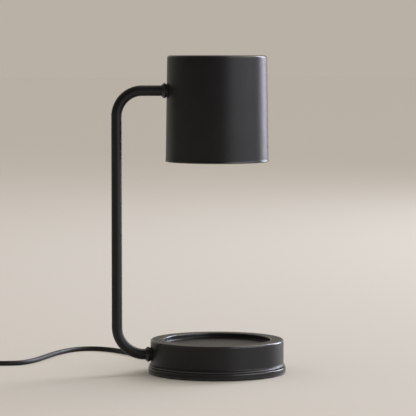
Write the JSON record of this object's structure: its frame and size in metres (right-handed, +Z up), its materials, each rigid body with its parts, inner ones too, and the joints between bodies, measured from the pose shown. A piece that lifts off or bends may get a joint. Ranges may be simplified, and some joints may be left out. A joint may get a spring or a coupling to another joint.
{
  "type": "candle warmer lamp",
  "caption": "Black candle warmer lamp: a shaded lamp head on a C-shaped tube arm over a round weighted base with a dish for a candle jar, with a dimmer on its cord.",
  "frame": {"origin": "on the base's axis, at the underside of the anti-slip pad, which is table height", "axes": "+Z up along the axis of base and shade, -X from that axis to the arm's upright, +Y to the side where the cord leaves the base"},
  "size_m": [0.4754, 0.2512, 0.3],
  "materials": {
    "powder_coat": "satin black powder coat on steel",
    "pad_foam": "matt black anti-slip foam",
    "cast_weight": "raw casting",
    "zinc_steel": "bright zinc plate",
    "brass": "machined",
    "white_nylon": "moulded",
    "cord_pvc": "soft satin PVC",
    "black_nylon": "moulded, fine texture",
    "wheel_plastic": "moulded",
    "brown_core": "PVC insulation",
    "blue_core": "PVC insulation",
    "mains_core_pair": "PVC insulation, one brown and one blue",
    "ceramic": "glazed steatite",
    "reflector": "glass with a cold-light coating",
    "lens_glass": "pressed glass with shallow facets",
    "capsule_glass": "clear quartz",
    "board": "circuit board",
    "pin_nickel": "nickel-plated brass",
    "tie_tape": "woven hook-and-loop strap"
  },
  "bodies": {
    "stand": {"base_shell": "powder_coat", "bottom_plate": "powder_coat", "foot_pad": "pad_foam", "counterweight": "cast_weight", "plate_screws": "zinc_steel", "weight_screws": "zinc_steel", "terminal_block": "white_nylon", "terminal_inserts": "brass", "terminal_screws": "zinc_steel", "cord_gland": "black_nylon", "cord_inside": "cord_pvc", "mains_cores": "mains_core_pair", "arm_tube": "powder_coat", "lower_collar": "powder_coat", "lower_saddle": "black_nylon", "lower_lock_washer": "zinc_steel", "lower_nut": "zinc_steel", "upper_collar": "powder_coat", "stop_washer": "zinc_steel", "spring_washer": "zinc_steel", "upper_nut": "zinc_steel", "live_wire": "brown_core", "neutral_wire": "blue_core", "cord_to_dimmer": "cord_pvc", "cord_to_coil": "cord_pvc", "cord_coil": "cord_pvc", "cord_to_plug": "cord_pvc", "cord_tie": "tie_tape", "dimmer_case_bottom": "black_nylon", "dimmer_case_top": "black_nylon", "dimmer_screws": "zinc_steel", "dimmer_pot": "zinc_steel", "dimmer_board": "board", "dimmer_boot_in": "cord_pvc", "dimmer_boot_out": "cord_pvc", "plug_body": "cord_pvc", "plug_boot": "cord_pvc", "plug_sleeves": "black_nylon", "plug_pins": "pin_nickel"},
    "head": {"shade": "powder_coat", "pivot_bush": "black_nylon", "lamp_bracket": "zinc_steel", "friction_washer": "black_nylon", "lampholder": "ceramic", "lampholder_contacts": "brass", "lampholder_screws": "zinc_steel", "head_leads": "mains_core_pair"},
    "bulb": {"bulb_reflector": "reflector", "bulb_lens": "lens_glass", "bulb_base": "ceramic", "bulb_pins": "pin_nickel", "bulb_capsule": "capsule_glass"},
    "thumb_wheel": {"dimmer_wheel": "wheel_plastic"}
  },
  "joints": [
    {"name": "head_tilt", "type": "hinge", "parent": "stand", "child": "head", "pos_m": [-0.047, 0, 0.267], "axis": [1, 0, 0], "range_deg": [-40, 40]},
    {"name": "bulb_twist", "type": "hinge", "parent": "head", "child": "bulb", "pos_m": [0, 0, 0.27], "axis": [0, 0, -1], "range_deg": [0, 25]},
    {"name": "dimmer_turn", "type": "hinge", "parent": "stand", "child": "thumb_wheel", "pos_m": [-0.2801, 0.08537, 0.0118], "axis": [0, 0, 1], "range_deg": [0, 270]}
  ]
}
